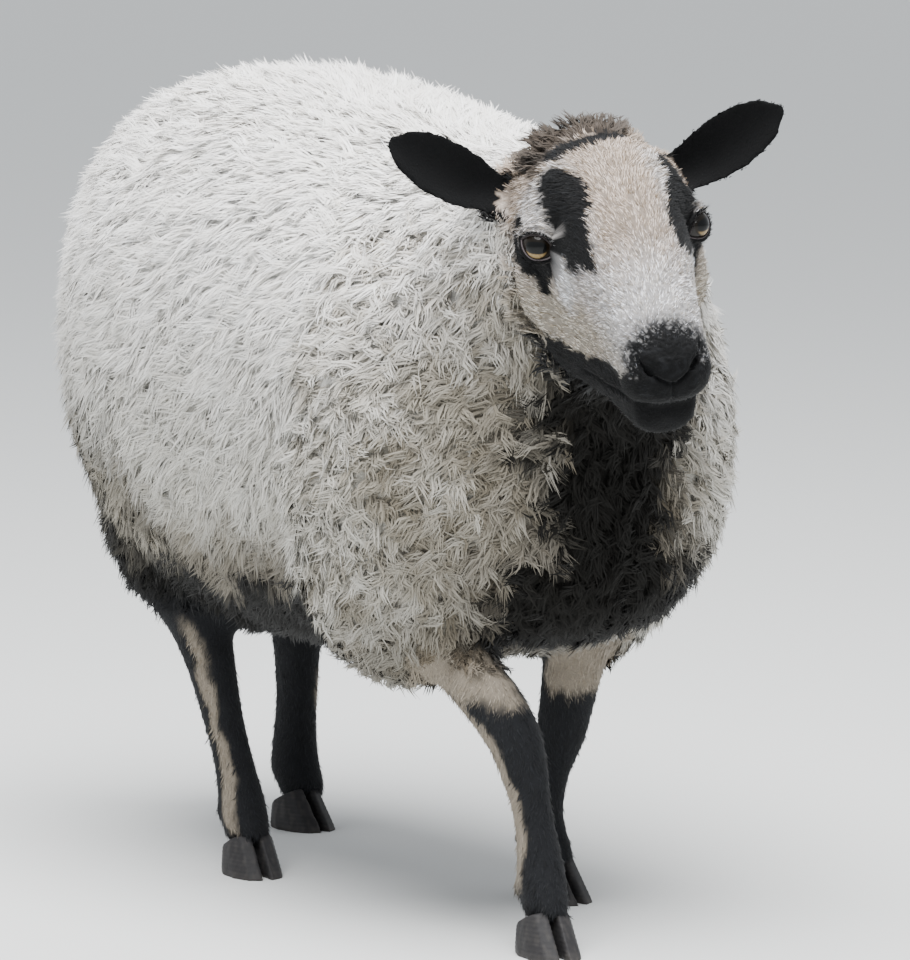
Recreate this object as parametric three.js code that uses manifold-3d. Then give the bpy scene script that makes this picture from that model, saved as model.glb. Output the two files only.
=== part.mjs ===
// A Badger Face Welsh Mountain ewe in full fleece, stepping forward with her head turned to the right.
// Millimetres, +Z up. She faces -Y and her left side is towards +X. The outline runs to the tips of the
// wool. Every part of the body is cut from one blended form, so the surface runs on across each joint.

import * as THREE from 'three';
import { mergeVertices } from 'three/addons/utils/BufferGeometryUtils.js';
import Module from 'manifold-3d';

const wasm = await Module();
wasm.setup();

// ---------- driving dimensions ----------

const GAP = 0.3;
const CLAW_GAP = 0.6;
const LEFT = 1;
const RIGHT = -1;

// The fleeced trunk, as rows of: y, half width, top, bottom.
const TRUNK = [
  [-302, 58, 368, 232],
  [-284, 97, 424, 208],
  [-235, 137, 488, 188],
  [-160, 160, 530, 176],
  [-60, 173, 555, 166],
  [60, 176, 575, 158],
  [140, 170, 577, 166],
  [200, 156, 569, 192],
  [250, 129, 551, 226],
  [292, 94, 519, 264],
  [320, 60, 475, 300],
  [331, 34, 439, 328],
];
const TRUNK_TIPS = [[0, -310, 298], [0, 336, 384]];
const TRUNK_LOFT = { sides: 22, rings: 15, squareness: 2.2 };

// Shoulder and haunch, the two masses that stand out of the barrel: centre and radii.
const SHOULDER = { x: 90, z: 304, radii: [86, 98, 154] };
const SHOULDER_AT = { [LEFT]: -118, [RIGHT]: -162 };
const HAUNCH = { x: 80, z: 278, radii: [62, 66, 104] };
const HAUNCH_AT = { [LEFT]: 218, [RIGHT]: 160 };

// The woolly neck, as rows of: x, y, z, half width, half depth.
const NECK = [
  [0, -120, 392, 140, 148],
  [-6, -190, 411, 128, 137],
  [-16, -245, 437, 106, 116],
  [-27, -286, 460, 82, 92],
  [-36, -316, 480, 62, 72],
];
const NECK_LOFT = { sides: 18, rings: 7, endReach: 0.2 };

// The head: its place between the eyes and its turn, nod and tilt in degrees.
const HEAD_AT = [-46, -343, 482];
const HEAD_TURN = -19;
const HEAD_NOD = 19.1;
const HEAD_TILT = -7;

// The skull and upper face, as rows of: distance ahead of the eyes, half width, top, bottom.
const FACE = [
  [-98, 58, 26, -56],
  [-76, 63, 39, -72],
  [-48, 62, 47, -80],
  [-18, 58, 50, -82],
  [10, 52, 47, -80],
  [38, 45, 38, -76],
  [68, 37.5, 25, -71],
  [98, 32, 10, -67],
  [122, 30, -4, -64],
  [139, 26, -16, -61],
  [148, 17, -28, -54],
];
const FACE_TIPS = [[0, 104, -8], [0, -151, -40]];
const FACE_LOFT = { sides: 20, rings: 13, squareness: 2.35, taper: 0.04 };

// The lower jaw, in the same rows.
const JAW = [
  [-84, 58, -30, -90],
  [-56, 63, -30, -103],
  [-22, 61, -34, -104],
  [18, 51, -38, -98],
  [56, 36, -46, -92],
  [92, 27, -50, -91],
  [114, 24.5, -50, -92],
  [128, 19, -52, -87],
];
const JAW_TIPS = [[0, 78, -62], [0, -134, -72]];
const JAW_LOFT = { sides: 20, rings: 9, squareness: 2.6, taper: 0.12 };

const ORBIT = { x: 36, y: 4, z: 4, radii: [22.5, 27, 23] };
const TUFT = { y: 72, z: 25, radii: [44, 30, 27] };
const CHEEK = { x: 42, y: 30, z: -42, radii: [28, 54, 45] };
const NOSTRIL = { x: 15, y: -146, z: -31, radii: [5, 8, 3.4], turn: 38, slope: 30 };

const EYE = { x: 47, y: -7, z: 0, radius: 13, sides: 12, rings: 8 };

// The ear, as rows of: distance from the root, half breadth, depth of the cup, thickness.
const EAR = [
  [0, 12, 15, 18],
  [13, 15.5, 13.5, 8.8],
  [27, 18.5, 12, 3.4],
  [40, 20.5, 10.5, 3.4],
  [54, 21, 9, 3.4],
  [67, 19.5, 7.5, 3.4],
  [81, 15.5, 5.5, 3.4],
  [94, 5, 4, 3.4],
];
const EAR_TIPS = [[-6, 0, 0], [98, -3.4, 0]];
const EAR_BENDS = 5;
const EAR_AT = { x: 58, y: 62, z: 2 };
const EAR_UPRIGHT = [0, 0.35, 1];
const EAR_POINTS = {
  [LEFT]: [66, -36, 57],
  [RIGHT]: [-76, -5, 56],
};

// The tail, as rows of: x, y, z, half width, half depth.
const TAIL = [
  [0, 288, 476, 26, 26],
  [2, 318, 442, 33, 28],
  [5, 334, 380, 37, 26],
  [8, 336, 300, 35, 25],
  [12, 334, 222, 28, 20],
  [14, 332, 168, 18, 13],
  [15, 331, 144, 9, 7],
];
const TAIL_LOFT = { sides: 10, rings: 10, endReach: 0.8 };

// Each leg, as rows of: x, y, z, half width, half depth, from inside the body down to the pastern.
const LEGS = {
  foreleg_right: {
    rows: [
      [-88, -190, 300, 44, 56],
      [-86, -205, 232, 32, 42],
      [-82, -222, 190, 22, 29],
      [-70, -258, 150, 20.5, 22],
      [-65, -266, 128, 19, 20.5],
      [-62, -275, 95, 14.5, 16.5],
      [-60, -280, 66, 16, 18],
      [-59, -282, 50, 18, 20],
      [-62, -292, 30, 17.5, 19],
      [-64, -297, 18, 16, 17],
    ],
    toe: [-70, -328],
    turn: -10,
  },
  foreleg_left: {
    rows: [
      [66, -150, 300, 44, 56],
      [60, -158, 232, 32, 42],
      [55, -158, 190, 23, 30],
      [53, -146, 142, 20.5, 22],
      [52, -141, 118, 19, 20.5],
      [50, -130, 90, 14.5, 16.5],
      [49, -122, 64, 16, 18],
      [49, -120, 48, 18, 20],
      [51, -130, 30, 17.5, 19],
      [52, -136, 18, 16, 17],
    ],
    toe: [54, -166],
    turn: 6,
  },
  hindleg_right: {
    rows: [
      [-88, 186, 300, 50, 60],
      [-93, 148, 236, 39, 52],
      [-91, 126, 198, 27, 37],
      [-87, 108, 166, 20, 26],
      [-82, 97, 120, 16, 20],
      [-77, 88, 84, 15, 18],
      [-74, 83, 58, 17, 20],
      [-73, 80, 46, 18.5, 21],
      [-75, 70, 30, 18, 20],
      [-76, 64, 18, 16.5, 18],
    ],
    toe: [-80, 33],
    turn: -8,
  },
  hindleg_left: {
    rows: [
      [72, 234, 300, 50, 60],
      [62, 224, 228, 38, 50],
      [55, 214, 190, 26, 36],
      [53, 212, 156, 20, 26],
      [56, 216, 112, 16.5, 21],
      [60, 225, 78, 16.5, 20],
      [62, 230, 54, 18.5, 22],
      [62, 228, 42, 19, 22],
      [61, 217, 29, 18, 20],
      [60, 210, 18, 16.5, 18],
    ],
    toe: [58, 178],
    turn: 6,
  },
};
const LEG_LOFT = { sides: 10, rings: 14, squareness: 2.1, endReach: 0.1 };

// A leg takes a round out of the side of the body, and below it all that is within a margin of the shaft.
const ROUNDS = {
  fore: { x: 160, z: 290, at: SHOULDER_AT, radii: [92, 84, 112] },
  hind: { x: 150, z: 272, at: HAUNCH_AT, radii: [92, 88, 108] },
};
const LEG_MARGIN = 16;
const LEG_REGION_LOFT = { sides: 8, rings: 5, endReach: 0.5 };

// One claw of a cloven hoof. Its outline runs from the toe round the outer side to the heel and back
// along the cleft, as fractions of its length and width.
const CLAW = { toeHeight: 31, heelHeight: 17 };
const CLAW_SOLE = { front: 0, back: 54, cleft: 1.5, width: 19.5 };
const CLAW_CROWN = { front: 24, back: 51, cleft: 2.1, width: 16.4 };
const CLAW_OUTLINE = [
  [0, 0.09],
  [0.095, 0.61],
  [0.345, 0.9],
  [0.655, 0.96],
  [0.905, 0.75],
  [1, 0.12],
  [0.905, 0.05],
  [0.655, 0.02],
  [0.345, 0.02],
  [0.095, 0.04],
];

// The two dewclaws stand behind the fetlock, which is the leg row of this number.
const FETLOCK_ROW = 7;
const DEWCLAW = { apart: 9.5, behind: 16, height: 40, radii: [6, 8, 9] };

// Where the head ends behind the eyes, and where the neck ends at the trunk: a point in each cut and
// the cut's lean in degrees.
const HEAD_END = { at: [0, 78, 0], lean: -12 };
const NECK_END = { at: [0, -215, 400], lean: -44 };
const BLOCK = 900;

// How many sides the balls are cut with.
const ROUND_SIDES = 12;
const SMALL_ROUND_SIDES = 10;
const NOSTRIL_SIDES = 8;
const DEWCLAW_SIDES = 6;

// ---------- materials ----------

function finish(color, roughness) {
  return new THREE.MeshStandardMaterial({ color, roughness, metalness: 0 });
}

const fleece = () => finish(0xd8cfc0, 0.95);
const greyWool = () => finish(0x8f8375, 0.95);
const shortHair = () => finish(0xb9a58e, 0.85);
const blackHair = () => finish(0x1b1a1c, 0.85);
const legHair = () => finish(0x2a2526, 0.85);
const horn = () => finish(0x2c2824, 0.55);
const eyeball = () => finish(0x8a6330, 0.1);

// ---------- solids ----------

function solidOf(geometry) {
  geometry.deleteAttribute('normal');
  geometry.deleteAttribute('uv');
  const merged = mergeVertices(geometry, 1e-4);
  return new wasm.Manifold(new wasm.Mesh({
    numProp: 3,
    vertProperties: new Float32Array(merged.attributes.position.array),
    triVerts: new Uint32Array(merged.index.array),
  }));
}

// The largest body of a solid, as a geometry.
function geometryOf(solid) {
  const bodies = solid.decompose().sort((a, b) => b.volume() - a.volume());
  const mesh = bodies[0].getMesh();
  const geometry = new THREE.BufferGeometry();
  geometry.setAttribute('position', new THREE.BufferAttribute(mesh.vertProperties, 3));
  geometry.setIndex(new THREE.BufferAttribute(mesh.triVerts, 1));
  return geometry;
}

function joined(solids) {
  return solids.reduce((sum, solid) => sum.add(solid));
}

// ---------- curves and lofts ----------

// A smooth curve through four values, from the second to the third.
function curveValue(a, b, c, d, t) {
  const slopeIn = (c - a) / 2;
  const slopeOut = (d - b) / 2;
  const t2 = t * t;
  const t3 = t2 * t;
  return b * (2 * t3 - 3 * t2 + 1) + slopeIn * (t3 - 2 * t2 + t)
    + c * (3 * t2 - 2 * t3) + slopeOut * (t3 - t2);
}

// A table of rows, sampled smoothly into a number of new rows.
function smoothRows(rows, count) {
  const last = rows.length - 1;
  return Array.from({ length: count }, (_, step) => {
    const place = (step / (count - 1)) * last;
    const index = Math.min(Math.floor(place), last - 1);
    const near = [index - 1, index, index + 1, index + 2];
    const four = near.map((i) => rows[Math.min(Math.max(i, 0), last)]);
    return rows[0].map((_value, column) => (
      curveValue(...four.map((row) => row[column]), place - index)
    ));
  });
}

// A ring of points: a rounded section with its own reach across, upward and downward.
function ring(centre, across, upward, reach, sides, squareness = 2) {
  const power = 2 / squareness;
  return Array.from({ length: sides }, (_, i) => {
    const angle = (2 * Math.PI * i) / sides;
    const c = Math.cos(angle);
    const s = Math.sin(angle);
    const high = Math.sign(s) * Math.abs(s) ** power;
    const wide = Math.sign(c) * Math.abs(c) ** power * (1 + (reach.taper ?? 0) * high);
    return centre.clone()
      .addScaledVector(across, wide * reach.half)
      .addScaledVector(upward, high * (s > 0 ? reach.up : reach.down));
  });
}

// A closed skin over rings of equal count, with a point at each end. The rings turn clockwise as seen
// from the end that they run towards.
function loft(rings, startTip, endTip) {
  const sides = rings[0].length;
  const points = [...rings.flat(), startTip, endTip];
  const start = points.length - 2;
  const end = points.length - 1;
  const lastRing = (rings.length - 1) * sides;
  const faces = [];
  for (let i = 0; i < sides; i += 1) {
    const next = (i + 1) % sides;
    faces.push(start, next, i);
    faces.push(end, lastRing + i, lastRing + next);
    for (let base = 0; base < lastRing; base += sides) {
      faces.push(base + i, base + next, base + sides + i);
      faces.push(base + next, base + sides + next, base + sides + i);
    }
  }
  const geometry = new THREE.BufferGeometry();
  const values = points.flatMap((point) => point.toArray());
  geometry.setAttribute('position', new THREE.Float32BufferAttribute(values, 3));
  geometry.setIndex(faces);
  return turnedOut(geometry);
}

// The same skin with its faces pointing out, whichever way its rings ran.
function turnedOut(geometry) {
  const { array } = geometry.attributes.position;
  const index = geometry.index.array;
  const corner = (i) => new THREE.Vector3().fromArray(array, index[i] * 3);
  let volume = 0;
  for (let i = 0; i < index.length; i += 3) {
    volume += corner(i).dot(corner(i + 1).cross(corner(i + 2)));
  }
  if (volume < 0) {
    for (let i = 0; i < index.length; i += 3) {
      [index[i], index[i + 1]] = [index[i + 1], index[i]];
    }
  }
  return geometry;
}

// A loft along a bent path. Rows hold x, y, z, half width and half depth; the width lies towards +X.
function limb(rows, { sides, rings, grow = 0, squareness = 2, endReach = 0.5 }) {
  const path = smoothRows(rows, rings);
  const centres = path.map((row) => new THREE.Vector3(...row.slice(0, 3)));
  const sections = path.map((row, i) => {
    const before = centres[Math.max(i - 1, 0)];
    const after = centres[Math.min(i + 1, rings - 1)];
    const along = after.clone().sub(before).normalize();
    const across = new THREE.Vector3(1, 0, 0).addScaledVector(along, -along.x).normalize();
    const upward = along.clone().cross(across);
    const reach = { half: row[3] + grow, up: row[4] + grow, down: row[4] + grow };
    return ring(centres[i], across, upward, reach, sides, squareness);
  });
  const tip = (near, far, depth) => {
    const away = near.clone().sub(far).normalize();
    return near.clone().addScaledVector(away, depth * endReach + grow);
  };
  const first = tip(centres[0], centres[1], path[0][4]);
  const last = tip(centres[rings - 1], centres[rings - 2], path[rings - 1][4]);
  return solidOf(loft(sections, first, last));
}

// A loft straight along Y. Rows hold y, half width, top and bottom.
function barrel(rows, tips, { sides, rings, squareness, taper = 0, grow = 0 }) {
  const across = new THREE.Vector3(1, 0, 0);
  const upward = new THREE.Vector3(0, 0, 1);
  const sections = smoothRows(rows, rings).map(([y, half, top, bottom]) => {
    const middle = (top + bottom) / 2;
    const reach = { half: half + grow, up: top - middle + grow, down: middle - bottom + grow, taper };
    return ring(new THREE.Vector3(0, y, middle), across, upward, reach, sides, squareness);
  });
  const ends = tips.map((tip) => new THREE.Vector3(...tip));
  return solidOf(loft(sections, ...ends));
}

function ball(centre, radii, { grow = 0, sides = ROUND_SIDES, turn = [0, 0, 0] } = {}) {
  const geometry = new THREE.SphereGeometry(1, sides, Math.ceil(sides / 2) + 1);
  geometry.scale(...radii.map((radius) => radius + grow));
  geometry.rotateX(THREE.MathUtils.degToRad(turn[0]));
  geometry.rotateY(THREE.MathUtils.degToRad(turn[1]));
  geometry.rotateZ(THREE.MathUtils.degToRad(turn[2]));
  geometry.translate(...centre);
  return solidOf(geometry);
}

// A geometry scaled up about its middle, so that each side moves out by a distance.
function swollen(geometry, distance) {
  geometry.computeBoundingBox();
  const middle = geometry.boundingBox.getCenter(new THREE.Vector3());
  const size = geometry.boundingBox.getSize(new THREE.Vector3());
  geometry.translate(-middle.x, -middle.y, -middle.z);
  geometry.scale(...size.toArray().map((length) => 1 + (2 * distance) / length));
  return geometry.translate(middle.x, middle.y, middle.z);
}

// A block larger than the animal, behind a face that looks along -Y, leaned about X and moved into place.
function halfSpace({ at, lean }, grow = 0) {
  const geometry = new THREE.BoxGeometry(BLOCK, BLOCK, BLOCK);
  geometry.translate(0, BLOCK / 2 - grow, 0);
  geometry.rotateX(THREE.MathUtils.degToRad(lean));
  geometry.translate(...at);
  return solidOf(geometry);
}

// ---------- the head, in its own frame: nose towards -Y, between the eyes at the origin ----------

function headFrame() {
  const turn = new THREE.Euler(
    THREE.MathUtils.degToRad(HEAD_NOD),
    THREE.MathUtils.degToRad(HEAD_TILT),
    THREE.MathUtils.degToRad(HEAD_TURN),
    'ZXY',
  );
  return new THREE.Matrix4().makeRotationFromEuler(turn).setPosition(...HEAD_AT);
}

function inHeadFrame(solid) {
  return solid.transform(headFrame().toArray());
}

function aheadRows(rows) {
  return rows.map(([ahead, half, top, bottom]) => [-ahead, half, top, bottom]);
}

function eye(side, grow = 0) {
  const geometry = new THREE.SphereGeometry(EYE.radius + grow, EYE.sides, EYE.rings);
  geometry.translate(side * EYE.x, EYE.y, EYE.z);
  return solidOf(geometry);
}

// The ear: a leaf that is rolled into a funnel at its root and cupped along its length. It is made
// lying along +X with the cup facing -Y, then swung so that its point reaches the given place.
function ear(side, grow = 0) {
  const sections = EAR.map(([x, half, cup, thickness]) => {
    const across = (bend, reach, offset) => {
      const place = (bend / EAR_BENDS) * 2 - 1;
      return new THREE.Vector3(x, cup * (1 / 2 - place * place) - offset, reach * place);
    };
    const bends = Array.from({ length: EAR_BENDS + 1 }, (_, bend) => bend);
    const back = bends.map((bend) => across(bend, half + 2 * grow, -grow));
    const hollow = bends.map((bend) => across(EAR_BENDS - bend, half, thickness + 2 * grow));
    return [...back, ...hollow];
  });
  const tips = EAR_TIPS.map(([x, y, z]) => new THREE.Vector3(x + Math.sign(x) * grow, y, z));
  const geometry = loft(sections, ...tips);
  geometry.applyMatrix4(earFrame(side));
  return solidOf(turnedOut(geometry));
}

function earFrame(side) {
  const along = new THREE.Vector3(...EAR_POINTS[side]).normalize();
  const upright = new THREE.Vector3(...EAR_UPRIGHT);
  const back = upright.clone().cross(along).multiplyScalar(side).normalize();
  const up = along.clone().cross(back).normalize();
  const frame = new THREE.Matrix4().makeBasis(along, back, up);
  return frame.setPosition(side * EAR_AT.x, EAR_AT.y, EAR_AT.z);
}

function mirrored(side, { x, y, z }) {
  return [side * x, y, z];
}

function headForm(grow = 0) {
  const face = barrel(aheadRows(FACE), FACE_TIPS, { ...FACE_LOFT, grow });
  const jaw = barrel(aheadRows(JAW), JAW_TIPS, { ...JAW_LOFT, grow });
  const bulges = [LEFT, RIGHT].flatMap((side) => [
    ball(mirrored(side, ORBIT), ORBIT.radii, { grow }),
    ball(mirrored(side, CHEEK), CHEEK.radii, { grow, sides: SMALL_ROUND_SIDES }),
  ]);
  const tuft = ball([0, TUFT.y, TUFT.z], TUFT.radii, { grow, sides: SMALL_ROUND_SIDES });
  return joined([face, jaw, tuft, ...bulges]);
}

function nostril(side) {
  return ball(mirrored(side, NOSTRIL), NOSTRIL.radii, {
    sides: NOSTRIL_SIDES, turn: [NOSTRIL.slope, 0, side * NOSTRIL.turn],
  });
}

// ---------- legs and feet ----------

function legNames() {
  return Object.keys(LEGS);
}

function sideOf(name) {
  return name.endsWith('left') ? LEFT : RIGHT;
}

function middleOf(section) {
  const sum = section.reduce((total, point) => total.add(point), new THREE.Vector3());
  return sum.divideScalar(section.length);
}

// The claws stand with their toes at the foot's own origin and their heels towards +Y.
function clawGeometry(half) {
  const outline = ({ front, back, cleft, width }, heightAt) => (
    CLAW_OUTLINE.map(([along, across]) => new THREE.Vector3(
      half * (cleft + across * width),
      front + along * (back - front),
      heightAt(along),
    ))
  );
  const sole = outline(CLAW_SOLE, () => 0);
  const crown = outline(CLAW_CROWN, (along) => (
    CLAW.toeHeight + along * (CLAW.heelHeight - CLAW.toeHeight)
  ));
  return loft([sole, crown], middleOf(sole), middleOf(crown));
}

function footFrame(name) {
  const { toe, turn } = LEGS[name];
  return new THREE.Matrix4()
    .makeRotationZ(THREE.MathUtils.degToRad(turn))
    .setPosition(toe[0], toe[1], 0);
}

// The room that a foot's two claws take in its leg.
function clawRoom(name) {
  return joined([LEFT, RIGHT].map((half) => (
    solidOf(swollen(clawGeometry(half), CLAW_GAP).applyMatrix4(footFrame(name)))
  )));
}

function dewclaws(name) {
  const { rows } = LEGS[name];
  const [x, y] = rows[FETLOCK_ROW];
  return [LEFT, RIGHT].map((half) => {
    const centre = [x + half * DEWCLAW.apart, y + DEWCLAW.behind, DEWCLAW.height];
    return ball(centre, DEWCLAW.radii, { sides: DEWCLAW_SIDES });
  });
}

function legForm(name) {
  return joined([limb(LEGS[name].rows, LEG_LOFT), ...dewclaws(name)]);
}

// The region of the body that belongs to a leg: a round of the shoulder or haunch, and the leg below it.
function legRegion(name, grow = 0) {
  const { rows } = LEGS[name];
  const side = sideOf(name);
  const round = ROUNDS[name.startsWith('fore') ? 'fore' : 'hind'];
  const wide = rows.slice(1).map((row) => (
    [row[0], row[1], row[2], row[3] + LEG_MARGIN, row[4] + LEG_MARGIN]
  ));
  return joined([
    ball([side * round.x, round.at[side], round.z], round.radii, { grow }),
    limb(wide, { ...LEG_REGION_LOFT, grow }),
  ]);
}

// ---------- the whole body, before it is parted ----------

function trunkForm() {
  const barrelForm = barrel(TRUNK, TRUNK_TIPS, TRUNK_LOFT);
  const masses = [LEFT, RIGHT].flatMap((side) => [
    ball([side * SHOULDER.x, SHOULDER_AT[side], SHOULDER.z], SHOULDER.radii),
    ball([side * HAUNCH.x, HAUNCH_AT[side], HAUNCH.z], HAUNCH.radii),
  ]);
  return joined([barrelForm, ...masses]);
}

function neckForm() {
  return limb(NECK, NECK_LOFT);
}

function tailForm(grow = 0) {
  return limb(TAIL, { ...TAIL_LOFT, grow });
}

// ---------- parting the body ----------

function node(name, geometry, material) {
  const mesh = new THREE.Mesh(geometry, material);
  mesh.name = name;
  return mesh;
}

const sheep = new THREE.Group();
const body = new THREE.Group();
const head = new THREE.Group();
head.applyMatrix4(headFrame());
sheep.add(body);
body.add(head);

const legs = Object.fromEntries(legNames().map((name) => [name, legForm(name)]));
let rest = joined([trunkForm(), neckForm(), ...Object.values(legs)]);
rest = rest.subtract(tailForm(GAP));
rest = rest.subtract(inHeadFrame(headForm(GAP).subtract(halfSpace(HEAD_END, -GAP))));

// The legs, each with its two claws.
for (const name of legNames()) {
  const leg = rest.intersect(legRegion(name)).subtract(clawRoom(name));
  body.add(node(name, geometryOf(leg), legHair()));
  rest = rest.subtract(legRegion(name, GAP));
  const foot = new THREE.Group();
  foot.applyMatrix4(footFrame(name));
  for (const half of [LEFT, RIGHT]) {
    const which = half === sideOf(name) ? 'outer' : 'inner';
    const geometry = clawGeometry(half);
    foot.add(node(`claw_${name}_${which}`, geometry, horn()));
  }
  body.add(foot);
}

// The head, with its eyes and ears set into it.
let headSolid = headForm().subtract(halfSpace(HEAD_END));
for (const side of [LEFT, RIGHT]) {
  const name = side === LEFT ? 'left' : 'right';
  head.add(node(`ear_${name}`, geometryOf(ear(side)), blackHair()));
  head.add(node(`eye_${name}`, geometryOf(eye(side)), eyeball()));
  headSolid = headSolid.subtract(ear(side, GAP)).subtract(eye(side, GAP)).subtract(nostril(side));
  rest = rest.subtract(inHeadFrame(ear(side, GAP)));
}
head.add(node('head', geometryOf(headSolid), shortHair()));

// Neck and trunk, parted by a plane that slopes from the withers to the breast.
body.add(node('neck', geometryOf(rest.subtract(halfSpace(NECK_END))), greyWool()));
body.add(node('trunk', geometryOf(rest.intersect(halfSpace(NECK_END, -GAP))), fleece()));
body.add(node('tail', geometryOf(tailForm()), greyWool()));

// The middle of the footprint is the origin, at floor level.
body.updateMatrixWorld(true);
const box = new THREE.Box3().setFromObject(body, true);
body.position.set(-(box.min.x + box.max.x) / 2, -(box.min.y + box.max.y) / 2, -box.min.z);

export default sheep;
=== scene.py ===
"""A Badger Face Welsh Mountain ewe in full fleece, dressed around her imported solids.

One skin stands for all the flesh and lies inside it by the depth of the coat. The coat is mesh: thin
tapered strands, grouped into locks that follow the lie of the wool. Metres, +Z up; she faces -Y and
her left side is towards +X.
"""

import math
from contextlib import contextmanager

import bmesh
import bpy
import numpy as np
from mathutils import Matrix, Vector
from mathutils.kdtree import KDTree


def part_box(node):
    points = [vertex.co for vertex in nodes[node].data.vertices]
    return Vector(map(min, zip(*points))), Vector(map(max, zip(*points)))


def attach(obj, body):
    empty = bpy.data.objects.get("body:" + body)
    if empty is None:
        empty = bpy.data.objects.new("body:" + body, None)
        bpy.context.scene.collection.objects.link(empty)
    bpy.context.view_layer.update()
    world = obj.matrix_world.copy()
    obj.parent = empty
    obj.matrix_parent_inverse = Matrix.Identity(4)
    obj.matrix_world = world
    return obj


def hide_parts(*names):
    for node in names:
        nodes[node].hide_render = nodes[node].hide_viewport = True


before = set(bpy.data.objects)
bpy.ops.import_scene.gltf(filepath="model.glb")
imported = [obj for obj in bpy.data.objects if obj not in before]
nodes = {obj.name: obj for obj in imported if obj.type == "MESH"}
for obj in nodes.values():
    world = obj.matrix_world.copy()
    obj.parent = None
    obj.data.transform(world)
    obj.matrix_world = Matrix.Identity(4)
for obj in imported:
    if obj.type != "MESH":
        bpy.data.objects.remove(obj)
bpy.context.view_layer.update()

MM = 0.001

# ---------- the pose, as in the part's source ----------

SHIFT = 55.54 * MM  # from the body's own middle to the middle of the footprint
HEAD_ANGLES = (-19.0, 19.1, -7.0)  # turn, nod and tilt in degrees
EYE_LOCAL = np.array([49.0, -7.0, 0.0])  # the middle of the left eyeball in the head's frame, mm
EYE_RADIUS = 13.0
GAZE = {"right": 29.0, "left": 45.0}  # how far out each eye looks, degrees
GAZE_LIFT = 14.0

# The opening between the lids, in degrees round the eyeball, and how far it slopes to the tear duct
LID_INNER = 64.0
LID_OUTER = 58.0
LID_UPPER = 35.0
LID_LOWER = 38.0
LID_SLOPE = 18.0
LID_RADIUS = 14.2  # how far the lids' edges lie from the eyeball's middle, mm

# ---------- the skin ----------

FLESH = ["trunk", "neck", "head", "tail", "ear_left", "ear_right",
         "foreleg_left", "foreleg_right", "hindleg_left", "hindleg_right"]
LEGS = [name for name in FLESH if "leg" in name]
SWELL = {"ear_left": 0.9 * MM, "ear_right": 0.9 * MM}
SWELL_ELSEWHERE = 0.3 * MM  # closes the cuts between the nodes
VOXEL = 2.8 * MM
SMOOTH_ROUNDS = 130
SMOOTH = {"trunk": 0.9, "neck": 0.9, "tail": 0.25, "head": 0.05, "ear_left": 0.04, "ear_right": 0.04}
SMOOTH_LEG = 0.12
BODY_FACES = 0.11  # the share of faces kept under the wool
BROAD_SAMPLES = 9000  # points over each broad node and each slim one, to tell them apart
SLIM_SAMPLES = 3000

# How deep the coat is over the skin, mm
DEPTH = {"trunk": 11.0, "neck": 11.5, "tail": 8.0, "head": 1.4, "ear_left": 0.5, "ear_right": 0.5}
DEPTH_LEG = 1.4
DEPTH_LEG_WOOL = 10.0
LEG_WOOL_FROM = 0.165  # the height where leg hair turns to wool
LEG_WOOL_TO = 0.225
HEAD_WOOL = 8.5  # more behind the line where the wool begins, mm
JAW_DEPTH = (38.0, 54.0)  # the neck is woolly from this far below the eyes, mm
SHORT_COAT = 4.0  # coat no deeper than this doesn't hide the skin, mm


def unit(v):
    return v / np.maximum(np.linalg.norm(v, axis=-1, keepdims=True), 1e-9)


def size(v):
    return np.linalg.norm(v, axis=-1)


def ramp(x, low, high):
    """0 below low, 1 above high, smooth between; low may be the greater."""
    t = np.clip((x - low) / (high - low), 0.0, 1.0)
    return t * t * (3.0 - 2.0 * t)


def mix(a, b, t):
    t = np.asarray(t)[..., None]
    return a * (1.0 - t) + b * t


def turned(axis, degrees):
    """The matrix that turns about one axis, given by its number."""
    angle = math.radians(degrees)
    first, second = (axis + 1) % 3, (axis + 2) % 3
    matrix = np.eye(3)
    matrix[first, first] = matrix[second, second] = math.cos(angle)
    matrix[second, first] = math.sin(angle)
    matrix[first, second] = -math.sin(angle)
    return matrix


def middle_of(name):
    low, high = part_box(name)
    return np.array((low + high) / 2)


HEAD_TURN = turned(2, HEAD_ANGLES[0]) @ turned(0, HEAD_ANGLES[1]) @ turned(1, HEAD_ANGLES[2])
EYES_MIDDLE = (middle_of("eye_left") + middle_of("eye_right")) / 2
HEAD_AT = EYES_MIDDLE - HEAD_TURN @ (EYE_LOCAL * [0, 1, 1]) * MM


def to_head(points):
    """Points in the head's own frame, in mm: nose towards -Y, between the eyes at the origin."""
    return (points - HEAD_AT) @ HEAD_TURN / MM


def from_head(points):
    return np.asarray(points) * MM @ HEAD_TURN.T + HEAD_AT


def turn_from_head(directions):
    return np.asarray(directions) @ HEAD_TURN.T


def one_sided(at):
    """Places of the head's frame, all brought to her left side."""
    return np.abs(at) * [1, 0, 0] + at * [0, 1, 1]


def sign_of(name):
    """1 for what is on her left side, -1 on her right."""
    return 1.0 if name.endswith("left") else -1.0


def eye_middle(side):
    return EYE_LOCAL * [sign_of(side), 1, 1]


def near_eye(at, side, reach):
    return size(at - eye_middle(side)) < reach


def eye_frame(side, slope):
    """An eye's gaze and, sloped by so many degrees, its ways inward and up, in the head's frame."""
    sign = sign_of(side)
    out, lift, slope = (math.radians(a) for a in (GAZE[side], GAZE_LIFT, slope))
    level = math.cos(lift)
    gaze = np.array([sign * math.sin(out) * level, -math.cos(out) * level, math.sin(lift)])
    inward = np.array([-sign * math.cos(out), -math.sin(out), 0.0])
    above = -sign * np.cross(gaze, inward)
    inner = math.cos(slope) * inward - math.sin(slope) * above
    up = math.sin(slope) * inward + math.cos(slope) * above
    return gaze, inner, up


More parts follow.
